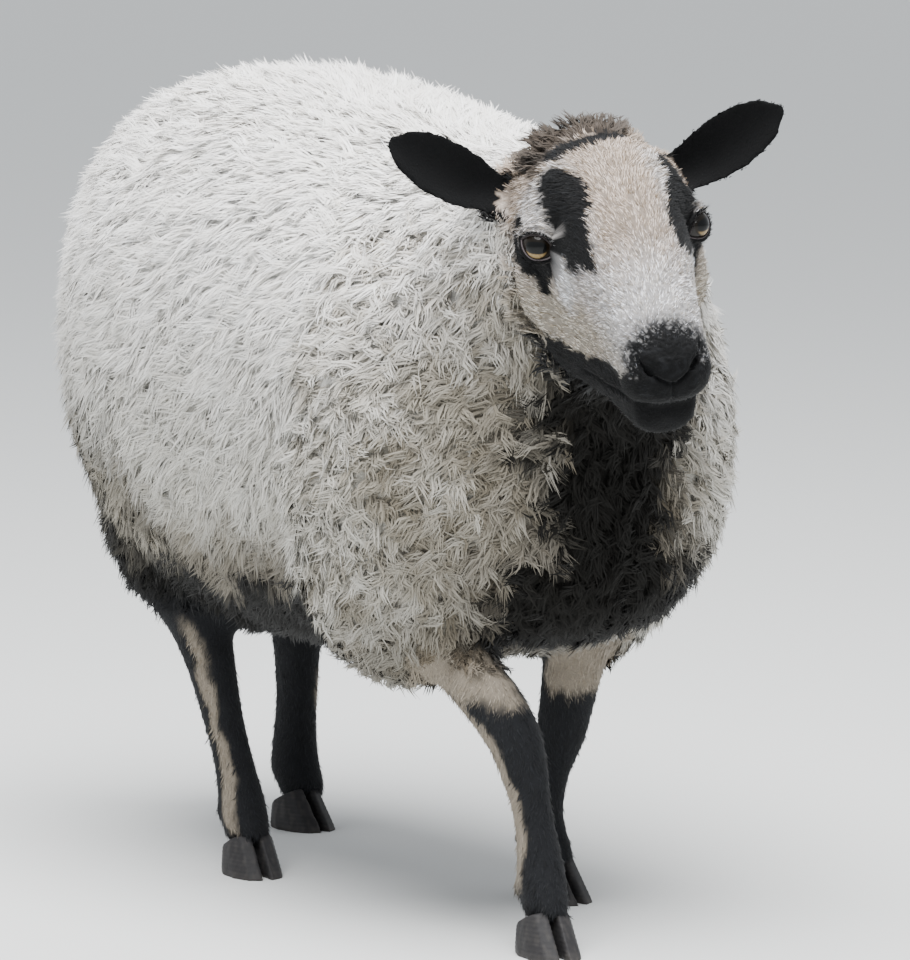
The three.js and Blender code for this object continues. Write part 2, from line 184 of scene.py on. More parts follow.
def round_eye(side, across, above):
    """The direction from an eyeball's middle at angles towards the tear duct and up, degrees."""
    gaze, inner, up = eye_frame(side, LID_SLOPE)
    a, b = np.radians(across)[..., None], np.radians(above)[..., None]
    return (gaze * np.cos(a) + inner * np.sin(a)) * np.cos(b) + up * np.sin(b)


def beyond_lids(at, side):
    """How far each place lies outside the opening of the lids, and how far above the gaze, degrees."""
    gaze, inner, up = eye_frame(side, LID_SLOPE)
    way = unit(at - eye_middle(side))
    across = np.degrees(np.arctan2(way @ inner, way @ gaze))
    above = np.degrees(np.arcsin(np.clip(way @ up, -1, 1)))
    half = np.where(across > 0, LID_INNER, LID_OUTER)
    high = np.where(above > 0, LID_UPPER, LID_LOWER)
    level = np.abs(above) / high + (across / half) ** 2 - 1
    return level / np.hypot(1 / high, 2 * across / half ** 2), above


def outside_lids(at, reach):
    """How far each place within reach of an eye lies outside its opening, degrees; 180 elsewhere."""
    away = [np.where(near_eye(at, side, reach), beyond_lids(at, side)[0], 180.0) for side in GAZE]
    return np.min(away, axis=0)


# Where the wool of the neck begins on the side of the head, as rows of: height, behind the eyes, mm
WOOL_LINE = [(-90, -8), (-60, -4), (-40, 4), (-12, 22), (0, 36), (25, 46), (60, 46)]
POLL_HALF = 38.0  # half the breadth of the woolly poll, mm
POLL_MIDDLE = 63.0  # how far behind the eyes it begins in the middle
POLL_SWEEP = 25.0  # and how much farther forward at its sides


def value_at(rows, x):
    """The value at x of a line through rows of: x, value."""
    return np.interp(x, *np.array(rows, dtype=float).T)


def poll_line(out):
    """How far behind the eyes the woolly poll begins, over the breadth of the head."""
    return POLL_MIDDLE - POLL_SWEEP * (out / POLL_HALF) ** 2


def wool_line(at):
    """Where the wool begins behind each place in the head's frame."""
    side = value_at(WOOL_LINE, at[:, 2])
    top = poll_line(np.minimum(np.abs(at[:, 0]), POLL_HALF))
    return side + (top - side) * ramp(at[:, 2], 24, 36)


# ---------- meshes as arrays ----------

def table_of(items, field, width, kind=float):
    """One field of a mesh's items as an array, a row for each item."""
    values = np.empty(len(items) * width, dtype=kind)
    items.foreach_get(field, values)
    return values.reshape(-1, width)


def coordinates(mesh):
    return table_of(mesh.vertices, "co", 3)


def edges_of(mesh):
    return table_of(mesh.edges, "vertices", 2, np.int32)


def vertex_normals(mesh):
    return table_of(mesh.vertex_normals, "vector", 3, np.float32).astype(float)


def set_coordinates(mesh, points):
    mesh.vertices.foreach_set("co", np.ascontiguousarray(points, dtype=np.float32).ravel())
    mesh.update()


def relaxed(values, edges, weight, rounds):
    """Values on vertices, drawn towards the mean of their neighbours."""
    count = len(values)
    near = np.concatenate([edges, edges[:, ::-1]])
    order = np.argsort(near[:, 0], kind="stable")
    others = near[order, 1]
    degree = np.bincount(near[:, 0], minlength=count)
    starts = np.concatenate([[0], np.cumsum(degree)[:-1]])
    weight = np.asarray(weight).reshape(-1, 1)
    for _ in range(rounds):
        mean = np.add.reduceat(values[others], starts, axis=0) / degree[:, None]
        values = values + weight * (mean - values)
    return values


def smooth_faces(mesh):
    mesh.polygons.foreach_set("use_smooth", np.ones(len(mesh.polygons), dtype=bool))


def tree_of(points):
    """A tree that finds the nearest of the points, by number."""
    tree = KDTree(len(points))
    for i, point in enumerate(points):
        tree.insert(point, i)
    tree.balance()
    return tree


@contextmanager
def edited(mesh):
    """The mesh as a bmesh, written back at the end."""
    bm = bmesh.new()
    bm.from_mesh(mesh)
    yield bm
    bm.to_mesh(mesh)
    bm.free()


def linked_object(name, data, material=None):
    if material:
        data.materials.clear()
        data.materials.append(material)
    piece = bpy.data.objects.new(name, data)
    bpy.context.scene.collection.objects.link(piece)
    return piece


def baked(piece):
    """The piece's mesh with its modifiers applied."""
    bpy.context.view_layer.update()
    evaluated = piece.evaluated_get(bpy.context.evaluated_depsgraph_get())
    mesh = bpy.data.meshes.new_from_object(evaluated)
    piece.modifiers.clear()
    piece.data = mesh
    return mesh


# ---------- the features of the face ----------

# Furrows of one side, in the head's frame, as rows of: place, depth and half width, mm
NOSTRIL = [(23, -136, -21, 1.5, 1.8), (20.5, -140, -28, 5.8, 2.5), (15, -144, -35, 5.8, 2.4),
           (8, -149, -39, 3.4, 1.8), (0, -150, -43, 2.0, 1.5)]
PHILTRUM = [(0, -150, -42, 1.8, 1.2), (0, -148, -52, 1.6, 1.2), (0, -141, -60, 1.6, 1.5)]
MOUTH = [(0, -141, -60, 2.2, 1.8), (14, -134, -61, 2.6, 1.8), (22, -112, -65, 2.4, 1.8),
         (28, -84, -69, 2.4, 2.0), (36, -58, -71, 1.8, 2.4)]
TEAR = [(44, -32, -2, 1.4, 2.4), (43, -42, -12, 1.2, 3.0), (42, -52, -22, 0.4, 4.0)]
CHEEK = [(46, -34, -40, 0.0, 9.0), (36, -70, -34, 2.2, 9.0), (28, -104, -32, 0.0, 9.0)]
FURROWS = [NOSTRIL, PHILTRUM, MOUTH, TEAR, CHEEK]

# Swellings of one side: place, height and half width, mm
SWELLINGS = [((12, -146, -25), 1.3, 6.0), ((24, -134, -36), 2.4, 9.0), ((0, -149, -28), 0.8, 7.0),
             ((47, 8, 17), 2.4, 10.0), ((22, -130, -52), 4.2, 12.0), ((14, -132, -74), 2.8, 10.0)]

NOSE = np.array([0.0, -147.0, -34.0])  # the middle of the nose pad, mm
PEBBLES = 0.20  # how high its pebbles stand, mm
PEBBLE_BREADTH = 3.0


def nearest_on(line, at):
    """The distance from each place to a line of rows, and the rows' last values there."""
    best = np.full(len(at), 1e9)
    values = np.zeros((len(at), 2))
    for first, last in zip(line, line[1:]):
        a, b = np.array(first[:3], dtype=float), np.array(last[:3], dtype=float)
        t = np.clip((at - a) @ (b - a) / ((b - a) @ (b - a)), 0, 1)
        distance = size(at - a - t[:, None] * (b - a))
        closer = distance < best
        best[closer] = distance[closer]
        values[closer] = mix(np.array(first[3:]), np.array(last[3:]), t[closer])
    return best, values


def snapped(line, at):
    """The line with its places moved onto the nearest points."""
    return [(*at[np.argmin(size(at - row[:3]))], *row[3:]) for row in line]


def shaped_face(at, normals):
    """The lids, nostrils, lips and furrows, pressed into the points of the head's frame, mm."""
    at = at.copy()
    x, y, z = at.T
    front = np.flatnonzero((np.abs(x) < 80) & (y < 60) & (y > -175) & (np.abs(z) < 110))
    half = one_sided(at[front])
    push = np.zeros(len(front))
    for line in FURROWS:
        distance, values = nearest_on(snapped(line, half), half)
        push -= values[:, 0] * np.exp(-(distance / values[:, 1]) ** 2)
    for place, height, width in SWELLINGS:
        push += height * np.exp(-(size(half - place) / width) ** 2)
    pad = size((half - NOSE) / [26, 24, 24])
    push += PEBBLES * wobble(half, PEBBLE_BREADTH, 19) * ramp(pad, 1.1, 0.8)
    at[front] += normals[front] * push[:, None]
    for side in GAZE:
        near = front[near_eye(at[front], side, 34)]
        at[near] = lidded(at[near], side)
    return at


def lidded(at, side):
    """Opens the skin over one eyeball and folds the lids round the opening."""
    away, above = beyond_lids(at, side)
    way = at - eye_middle(side)
    reach = size(way)
    upper = ramp(above, -4, 6)
    lid = LID_RADIUS + 1.3 * ramp(away, 0, 8)
    lid -= (0.5 + 0.9 * upper) * np.exp(-((away - 14 - 2 * upper) / 3.2) ** 2)
    lid += 1.6 * upper * np.exp(-((away - 25) / 6.0) ** 2)
    blend = ramp(away, 10 + 8 * upper, 34 + 10 * upper)
    radius = lid * (1 - blend) + reach * blend
    inside = ramp(away, 0.2, -2.6)
    radius = radius * (1 - inside) + (EYE_RADIUS - 2.5) * inside
    return eye_middle(side) + way * (radius / np.maximum(reach, 1e-6))[:, None]


# ---------- building the skin ----------

def joined(names, swell, otherwise):
    """Copies of nodes as one loose mesh, each swollen a little so that they overlap."""
    mesh = bpy.data.meshes.new("joined")
    with edited(mesh) as whole:
        for name in names:
            copy = nodes[name].data.copy()
            with edited(copy) as part:
                bmesh.ops.remove_doubles(part, verts=part.verts, dist=1e-6)
                part.normal_update()
                for vertex in part.verts:
                    vertex.co += vertex.normal * swell.get(name, otherwise)
            whole.from_mesh(copy)
            bpy.data.meshes.remove(copy)
    return mesh


def fused(name, loose, voxel):
    """One piece with closed skin round a mesh of loose shells."""
    piece = linked_object(name, loose)
    remesh = piece.modifiers.new("remesh", "REMESH")
    remesh.mode = "VOXEL"
    remesh.voxel_size = voxel
    baked(piece)
    return piece


def surface_samples(name, count):
    """Points spread evenly over a CAD node."""
    mesh = nodes[name].data
    mesh.calc_loop_triangles()
    corners = table_of(mesh.loop_triangles, "vertices", 3, np.int32)
    a, b, c = coordinates(mesh)[corners].transpose(1, 0, 2)
    area = size(np.cross(b - a, c - a))
    pick = np.random.default_rng(3).choice(len(area), count, p=area / area.sum())
    u, v = np.random.default_rng(4).random((2, count, 1))
    flip = u + v > 1
    u, v = np.where(flip, 1 - u, u), np.where(flip, 1 - v, v)
    return a[pick] + u * (b[pick] - a[pick]) + v * (c[pick] - a[pick])


def nearest_part(points):
    """For each point, the number of the flesh node that it lies on."""
    counts = [BROAD_SAMPLES if name in ("trunk", "neck", "head") else SLIM_SAMPLES for name in FLESH]
    samples = [surface_samples(name, count) for name, count in zip(FLESH, counts)]
    labels = np.repeat(np.arange(len(FLESH)), counts)
    tree = tree_of(np.concatenate(samples))
    return np.array([labels[tree.find(point)[1]] for point in points])


def on_each(part):
    """Each flesh node's name, with whether each point belongs to it."""
    return [(name, part == number) for number, name in enumerate(FLESH)]


def lies_on(part, *names):
    """Whether each point belongs to one of the named flesh nodes."""
    return np.isin(part, [FLESH.index(name) for name in names])


def per_part(part, table, otherwise):
    return np.array([table.get(name, otherwise) for name in FLESH])[part]


def divided(mesh, inside):
    """Halves the edges that lie inside, given as one truth for each point."""
    with edited(mesh) as bm:
        edges = [edge for edge in bm.edges if all(inside[vertex.index] for vertex in edge.verts)]
        bmesh.ops.subdivide_edges(bm, edges=edges, cuts=1, use_grid_fill=True)


def refine_face(mesh):
    """Finer faces on the face, and finer still round the eyes and the nose."""
    at = to_head(coordinates(mesh))
    divided(mesh, (np.abs(at[:, 0]) < 66) & (at[:, 1] < wool_line(at) + 6) & (at[:, 2] > -96))
    at = to_head(coordinates(mesh))
    eye = size(one_sided(at) - EYE_LOCAL - [3, -6, 2])
    divided(mesh, (eye < 22) | (size(at - NOSE) < 27))


def base_skin():
    """The skin, the flesh node that each of its points belongs to, and how deep its coat is."""
    piece = fused("skin", joined(FLESH + ["eye_left", "eye_right"], SWELL, SWELL_ELSEWHERE), VOXEL)
    mesh = piece.data
    keep_largest(mesh)
    refine_face(mesh)
    points = coordinates(mesh)
    edges = edges_of(mesh)
    part = nearest_part(points)
    weight = relaxed(per_part(part, SMOOTH, SMOOTH_LEG)[:, None], edges, 0.9, 25)
    points = relaxed(points, edges, weight, SMOOTH_ROUNDS)
    set_coordinates(mesh, points)
    depth = per_part(part, DEPTH, DEPTH_LEG)
    legs = lies_on(part, *LEGS)
    depth[legs] = mix(DEPTH_LEG, DEPTH_LEG_WOOL, ramp(points[legs, 2], LEG_WOOL_FROM, LEG_WOOL_TO))[:, 0]
    head = lies_on(part, "head")
    at = to_head(points)
    depth[head] += HEAD_WOOL * ramp(at[head, 1] - wool_line(at[head]), 0, 12)
    neck = lies_on(part, "neck")
    behind = ramp(at[neck, 1] - wool_line(at[neck]), -6, 6)
    behind = np.maximum(behind, ramp(-at[neck, 2], *JAW_DEPTH))
    depth[neck] = DEPTH["head"] + (DEPTH["neck"] - DEPTH["head"]) * behind
    depth = relaxed(depth[:, None], edges, 0.9, 30) * MM
    points = points - vertex_normals(mesh) * depth
    points = relaxed(points, edges, weight * 0.9, 6)
    set_coordinates(mesh, points)
    set_coordinates(mesh, from_head(shaped_face(to_head(points), vertex_normals(mesh) @ HEAD_TURN)))
    return piece, part, depth[:, 0]


def keep_largest(mesh):
    """Leaves only the largest shell of the mesh."""
    with edited(mesh) as bm:
        left = set(bm.verts)
        shells = []
        while left:
            shell = [left.pop()]
            for vertex in shell:
                beside = left.intersection(edge.other_vert(vertex) for edge in vertex.link_edges)
                left -= beside
                shell.extend(beside)
            shells.append(shell)
        shells.sort(key=len)
        loose = [vertex for shell in shells[:-1] for vertex in shell]
        bmesh.ops.delete(bm, geom=loose, context="VERTS")


# ---------- markings ----------

# Linear colours of the coat
WHITE = np.array([0.95, 0.935, 0.91])
# The lower flank: partly the fleece's own grey, partly painted shade
FLANK = np.array([0.54, 0.525, 0.48])
GREY = np.array([0.265, 0.243, 0.200])
SHADOW = np.array([0.080, 0.068, 0.052])
DARK = np.array([0.0075, 0.007, 0.006])
CREAM = np.array([0.45, 0.37, 0.305])
PALE = np.array([0.575, 0.57, 0.575])
ASH = np.array([0.70, 0.695, 0.705])
JOWL = np.array([0.50, 0.45, 0.375])
BLACK = np.array([0.0040, 0.0042, 0.0048])
TAN = np.array([0.265, 0.228, 0.18])
POLL = np.array([0.068, 0.054, 0.043])

# The black stripe from the brow to the tear duct, in the head's frame as rows of: out from the
# middle, behind the eyes, half width, mm
BROW = {
    "right": [(36.5, 15, 6), (35.5, 7, 9.5), (34, -2, 11.5), (31.5, -14, 12), (31, -26, 12), (33, -38, 9),
              (34, -50, 6.5), (29, -72, 1)],
    "left": [(44, 24, 6), (44, 12, 9.5), (44, -2, 10), (42, -14, 10), (39, -28, 10), (35, -42, 9),
             (31, -54, 6), (28, -66, 1)],
}

# The black behind and under the eye, seen from the side as rows of: behind the eyes, height, half width
UNDER_EYE = [(20, 3, 7), (12, -5, 12.5), (0, -9, 13), (-12, -13, 11), (-17, -22, 6), (-19, -29, 3)]

# The black arc at the foot of the poll's tuft, as rows of: out to her left, behind the eyes, half width
ARC = [(-33, 34, 5), (-24, 34, 10), (-12, 38, 11), (0, 43, 10.5), (11, 47, 8), (23, 49, 6)]

# The edge of the black lips and jaw, as rows of: behind the eyes, height
LIP_LINE = [(-150, -34), (-133, -39), (-120, -43), (-100, -47), (-76, -55), (-46, -60), (-30, -58),
            (10, -68)]

# The edge of the black belly, as rows of: behind the body's middle, height
BELLY_LINE = [(-290, 262), (-245, 244), (-225, 170), (-155, 170), (-130, 240), (-60, 250),
              (20, 234), (60, 250), (100, 294), (150, 312), (260, 318), (330, 395)]


def wobble(points, wavelength, seed):
    """A soft random field between about -1 and 1."""
    draw = np.random.default_rng(seed)
    total = np.zeros(len(points))
    for _ in range(7):
        way = unit(draw.normal(size=3)) * 2 * math.pi / (wavelength * draw.uniform(0.7, 1.5))
        total += np.sin(points @ way + draw.uniform(0, 2 * math.pi))
    return total / 3.2


def stroke(x, y, rows):
    """How deep a place lies inside a stroke of varying width, in its own units; below 0 is outside."""
    best = np.full(len(x), -1e9)
    for (x0, y0, r0), (x1, y1, r1) in zip(rows, rows[1:]):
        dx, dy = x1 - x0, y1 - y0
        t = np.clip(((x - x0) * dx + (y - y0) * dy) / (dx * dx + dy * dy), 0, 1)
        distance = np.hypot(x - x0 - t * dx, y - y0 - t * dy)
        best = np.maximum(best, r0 + t * (r1 - r0) - distance)
    return best


def eye_patch(at, fuzz):
    """The black of the eyes: a thin ring round each opening, and a broad patch behind and below."""
    patch = ramp(stroke(at[:, 1], at[:, 2], UNDER_EYE) + 0.7 * fuzz, -1.5, 1.5)
    patch *= ramp(np.abs(at[:, 0]), 36, 42)
    return np.maximum(patch, ramp(outside_lids(at, 30) + fuzz, 12, 6))


def face_colour(points):
    """Colours of the head and the short-haired throat: cream, paler and greyer in places, and black."""
    at = to_head(points)
    left, y, z = at.T
    x = np.abs(left)
    fuzz = 2.2 * wobble(at, 9, 5) + 1.2 * wobble(at, 4, 6)
    temple = ramp(x + fuzz, 16, 34) * ramp(z, -45, 5) * ramp(y + fuzz, 32, 18)
    colour = mix(CREAM, PALE, temple * 0.7)
    colour = mix(colour, ASH, ramp(-y + 2 * fuzz, 55, 110) * 0.8)
    colour = mix(colour, JOWL, ramp(-z + 2 * fuzz, 6, 42) * ramp(x, 18, 36))
    grain = at * [1, 0.35, 1]
    flecks = ramp(wobble(grain, 3.4, 7) + wobble(grain, 2.2, 8), 0.1, 1.3)
    flecks *= 0.16 + 0.4 * ramp(-y, 30, 125)
    colour = mix(colour, BLACK, flecks * ramp(x + y * 0.2, -45, 0))
    half = one_sided(at)
    bright = ramp(size((half - [44, -46, -16]) / [1, 1, 1.5]) + fuzz, 18, 5)
    colour = mix(colour, PALE * 1.15, bright)
    for side, rows in BROW.items():
        stripe = ramp(stroke(sign_of(side) * left, y, rows) + fuzz * 0.4, -1.0, 1.0)
        colour = mix(colour, BLACK, stripe * ramp(z, -8, 0))
    colour = mix(colour, BLACK, eye_patch(at, fuzz))
    # Jaw, lips and chin
    colour = mix(colour, BLACK, ramp(value_at(LIP_LINE, y) - z + fuzz, -1.5, 1.5))
    # The leather of the nose, how deep each place lies inside it, and the flecked hair round it
    pad = 24 * (1 - size((half - [0, -148, -30]) / [27, 27, 24]))
    close = ramp(pad, -17, 0) * ramp(z, -40, -28)
    salt = wobble(grain, 3.0, 61) + wobble(grain, 1.8, 62) + 2.2 * close
    colour = mix(colour, ASH * 0.35, 0.6 * close)
    colour = mix(colour, BLACK * 2, ramp(salt, 1.0, 1.7) * close)
    # The black leather, mottled lighter by painted wet reflections
    leather_with_glints = BLACK * (1.1 + 2.6 * ramp(wobble(at, 4.0, 63), -0.2, 1.4))[:, None]
    colour = mix(colour, leather_with_glints, ramp(pad + 1.3 * fuzz, -1.5, 1.5))
    specks = ramp(wobble(at, 2.6, 9) + wobble(at, 1.7, 10), 0.7, 1.3) * ramp(pad, 7, 1)
    colour = mix(colour, PALE, specks * ramp(pad, -5, 0) * ramp(z, -40, -32) * 0.4)
    # The woolly tuft of the poll, and the arc at its foot
    tuft = ramp(y - poll_line(x) + fuzz, -12, -8) * ramp(z, 16, 30)
    tuft *= ramp(left + 2 * fuzz, 34, 22) * ramp(-left + 2 * fuzz, 52, 40)
    arc = ramp(stroke(left, y, ARC) + fuzz * 0.6, -2, 2) * ramp(z, 8, 20)
    return mix(mix(colour, POLL, tuft), BLACK * 1.3, arc)


def body_colour(points):
    """Colours of the fleece: white above, black below, with a grey front. The lower flank greys, partly
    with painted shade, and painted shade darkens the crook of the foreleg, round the black throat
    and along the black belly.
    """
    at = points / MM - [0, SHIFT / MM, 0]
    x, y, z = at.T
    fuzz = 9 * wobble(at, 60, 11) + 5 * wobble(at, 22, 12) + 3 * wobble(at, 9, 13)
    patch = wobble(at, 45, 14) + 0.6 * wobble(at, 18, 15)
    # Greyer towards the bottom, partly the fleece's own grey and partly painted shade
    colour = mix(FLANK, WHITE, ramp(z + fuzz, 290, 490))
    rise = 38 * ramp(-y, 200, 280)
    front = ramp(-y + 2 * fuzz, 125, 265) * ramp(z - rise + fuzz, 485, 370) * ramp(x, 90, 20)
    colour = mix(colour, GREY, np.clip(front * (0.88 + 0.3 * patch), 0, 1))
    # Painted shade where the foreleg meets the body
    elbow_shade = ramp(z + fuzz, 248, 180) * ramp(-y, 110, 180) * ramp(x, 90, 20)
    colour = mix(colour, GREY * 0.55, 0.85 * elbow_shade)
    low = ramp(z + 2 * fuzz, 300, 225) * ramp(y, -150, -60)
    colour = mix(colour, GREY, np.minimum(low * 1.1, 1))
    # The black of the throat and chest, and its surround, half darkened with painted shadow
    out = np.abs(x + 16) + 1.2 * fuzz
    near = ramp(out, 82, 44) * ramp(y, -190, -250) * ramp(z, 450, 390)
    colour = mix(colour, SHADOW, near * 0.5)
    throat = ramp(out - 0.10 * np.maximum(z - 300, 0), 50, 36) * ramp(y, -225, -262) * ramp(z, 440, 385)
    # The black of the belly with a band of painted shadow along its edge, and the brown-grey britch behind
    # it
    below = value_at(BELLY_LINE, y) - z + 1.3 * fuzz
    colour = mix(colour, SHADOW, ramp(below, -34, 4) * 0.6)
    britch = ramp(y, 30, 110) * ramp(z + 2 * fuzz, 225, 275) * (0.8 + 0.3 * patch)
    colour = mix(colour, mix(DARK, GREY * 1.25, britch), ramp(below, -8, 10))
    return mix(np.maximum(colour, 0), DARK, throat)


# The tan stripes of the legs: the side they lie on (degrees from the leg's own front, towards the
# outside), half the angle they cover, and the heights they run between, mm
LEG_TAN = {
    "foreleg_right": [(104, 38, 44, 215), (44, 62, 164, 215), (178, 26, 14, 60)],
    "foreleg_left": [(10, 88, 150, 205), (100, 34, 40, 205)],
    "hindleg_right": [(56, 10, 136, 178), (58, 20, 30, 146), (176, 26, 14, 60)],
    "hindleg_left": [(100, 24, 90, 200), (40, 26, 96, 116)],
}


def leg_colour(points, name):
    """Colours of a leg: black, with tan stripes."""
    at = points / MM
    fuzz = 1.2 * wobble(at * [1, 1, 0.4], 7, 16) + 1.6 * wobble(at, 34, 17)
    axis_x, axis_y = leg_axis(name, points[:, 2])
    angle = np.degrees(np.arctan2(sign_of(name) * (points[:, 0] - axis_x), -(points[:, 1] - axis_y)))
    colour = np.tile(BLACK * 3.0, (len(points), 1))
    for middle, half, low, high in LEG_TAN[name]:
        away = np.abs((angle - middle + 180) % 360 - 180)
        height = at[:, 2] + 2 * fuzz
        inside = ramp(height, low - 6, low + 6) * ramp(height, high + 8, high - 8)
        colour = mix(colour, TAN, inside * ramp(half - away + 3 * fuzz, -8, 9))
    return colour


def leg_axis(name, height):
    """The middle of a leg at each height, from its solid."""
    points = coordinates(nodes[name].data)
    low = points[points[:, 2] < 0.24]
    levels = np.arange(20, 215, 12) * MM
    near = np.exp(-((low[:, 2] - levels[:, None]) / (13 * MM)) ** 2)
    middles = near @ low[:, :2] / near.sum(axis=1, keepdims=True)
    return [np.interp(height, levels, values) for values in middles.T]


def coat_colour(points, part, depth):
    """The markings that skin and coat share."""
    colour = body_colour(points)
    for name, here in on_each(part):
        at, deep = points[here], depth[here] / MM
        if name in LEGS:
            colour[here] = mix(leg_colour(at, name), colour[here], ramp(deep, 3, 9))
        elif name == "head":
            colour[here] = face_colour(at)
        elif name == "neck":
            colour[here] = mix(face_colour(at), colour[here], ramp(deep, 3, 7))
        elif name.startswith("ear"):
            colour[here] = BLACK * 0.8
        elif name == "tail":
            height = at[:, 2] / MM + 12 * wobble(at / MM, 30, 18)
            # The tail greys downwards like the flank, partly with painted shade, to the shadow colour at
            # its lower end
            top = mix(FLANK, WHITE, ramp(height, 380, 470))
            colour[here] = mix(SHADOW, top, ramp(height, 180, 330))
    return colour


skin, skin_part, skin_depth = base_skin()
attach(skin, "root")
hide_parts(*FLESH)

# ---------- the coat ----------

PIECE_FACES = 190000  # the most triangles in one piece of coat
CLUMP = 17.0  # the breadth of a clump of locks, mm
WOOLLY = 4.5  # coat deeper than this is wool, mm
CURLS_BACK = -0.075  # the grey curls of the front reach back to here, and stray
CURLS_STRAY = 0.03
CURLS_TOP = 0.48
# Painted shade at the roots, warmer in hue than the tips
ROOT_SHADE_WARMTH = np.array([0.90, 1.0, 1.18])  # how fast red, green and blue fall off towards the roots
PATCH = 0.003  # the side of each strand's patch on the unit square

# Kinds of lock, in mm, degrees and shares. Towards the tips the strands of a lock close up (converge)
# and stray (scatter); shade is the tone at their roots, a painted shade. Locks lean to the middle of
# their clump (gather), turn aside (swirl), and are shorter (heap) and darker by painted shade (valley)
# at the clump's edge.
PLUSH = dict(spacing=6.6, strands=12, rows=2, length=16.5, lift=42, bend=0.30, width=0.85, radius=4.4,
             converge=0.50, scatter=2.4, wave=1.5, turns=0.8, shade=0.96, vary=0.08, gather=0.16, swirl=30,
             heap=0.16, valley=0.05)
CURL = dict(spacing=7.0, strands=12, rows=3, length=15.5, lift=46, bend=0.40, width=0.80, radius=5.0,
            converge=0.45, scatter=1.9, wave=2.6, turns=1.2, shade=0.78, vary=0.08, gather=0.32, swirl=44,
            heap=0.42, valley=0.34)
TUFT = dict(spacing=5.2, strands=13, rows=4, length=18.0, lift=62, bend=0.25, width=0.50, radius=3.2,
            converge=0.22, scatter=1.2, wave=1.8, turns=1.1, shade=0.62, vary=0.15, gather=0.3, swirl=24,
            heap=0.30, valley=0.20)
HAIR = dict(spacing=2.6, strands=2, rows=2, length=6.5, lift=12, bend=0.06, width=0.42, radius=1.7,
            converge=0.6, scatter=0.7, wave=0.3, turns=0.6, shade=0.85, vary=0.25, gather=0.0, swirl=8,
            heap=0.0, valley=0.0)
FACE_HAIR = dict(HAIR, spacing=2.15, strands=4, width=0.26, lift=13, radius=1.3, converge=0.75,
                 shade=0.55, vary=0.85)

# Where each part is rolled out on the unit square: its corner, breadth and height
ROLLED = {"trunk": (0.0, 0.0, 0.66, 0.66), "neck": (0.68, 0.0, 0.32, 0.32),
          "head": (0.68, 0.34, 0.32, 0.32), "tail": (0.0, 0.68, 0.15, 0.32),
          "ear_left": (0.16, 0.68, 0.12, 0.15), "ear_right": (0.16, 0.85, 0.12, 0.15)}
for number, name in enumerate(LEGS):
    ROLLED[name] = (0.30 + 0.175 * number, 0.68, 0.165, 0.32)


def along_skin(way, normals):
    """What is left of a way when its part along the normals is taken out."""
    return way - normals * np.sum(way * normals, axis=1, keepdims=True)


def lie_of_coat(points, normals, part):
    """The way the hair runs at each root, along the skin."""
    way = np.tile([0.0, 0.62, -0.78], (len(points), 1))
    at = to_head(points)
    for name, here in on_each(part):
        if name == "neck":
            way[here] = [0.0, 0.35, -0.94]
        elif name == "head":
            x, y, z = at[here].T
            spread = 0.016 + 0.022 * ramp(y, -60, 10)
            way[here] = turn_from_head(np.stack([x * spread, np.ones(len(x)), 0.1 - z * 0.002], 1))
        elif name.startswith("ear"):
            way[here] = turn_from_head([sign_of(name) * 0.75, -0.2, 0.6])
        elif name in LEGS or name == "tail":
            way[here] = [0.0, 0.12, -1.0]
    turn = 0.35 * wobble(points / MM, 70, 21) + 0.25 * wobble(points / MM, 26, 22)
    way = unit(along_skin(way, normals))
    return unit(way + np.cross(normals, way) * turn[:, None])


def thinned(points, chosen, spacing, seed):
    """One of the chosen points for each cell of a grid."""
    index = np.random.default_rng(seed).permutation(np.flatnonzero(chosen))
    cells = np.floor(points[index] / (spacing * MM)).astype(np.int64)
    key = (cells[:, 0] * 100003 + cells[:, 1]) * 100003 + cells[:, 2]
    return index[np.unique(key, return_index=True)[1]]


def unwrapped(points, part):
    """A place on the unit square for each point: every part is rolled out round its own axis."""
    place = np.zeros((len(points), 2))
    for name, here in on_each(part):
        low, high = (np.array(corner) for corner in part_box(name))
        own = points[here]
        middle = (low + high) / 2
        if name in ("trunk", "neck"):
            along = (own[:, 1] - low[1]) / (high[1] - low[1])
            angle = np.arctan2(own[:, 0] - middle[0], own[:, 2] - middle[2])
        elif name == "head" or name.startswith("ear"):
            local, centre = to_head(own), to_head(middle[None])[0]
            axis, span = (1, 260.0) if name == "head" else (0, 140.0)
            away = local - centre
            along = away[:, axis] / span + 0.5
            angle = np.arctan2(away[:, 1 - axis], away[:, 2])
        else:
            along = (own[:, 2] - low[2]) / (high[2] - low[2])
            axis_x, axis_y = middle[:2] if name == "tail" else leg_axis(name, own[:, 2])
            angle = np.arctan2(own[:, 0] - axis_x, own[:, 1] - axis_y)
        share = np.stack([angle / (2 * math.pi) + 0.5, np.clip(along, 0, 1)], axis=1)
        place[here] = ROLLED[name][:2] + ROLLED[name][2:] * (0.01 + 0.97 * share)
    return place


def gathering(roots, normals, seed):
    """From each root towards the middle of its clump of locks, along the skin."""
    tree = tree_of(roots[thinned(roots, np.ones(len(roots)), CLUMP, seed)])
    middles = np.array([tree.find(root)[0] for root in roots])
    return along_skin(middles - roots, normals)


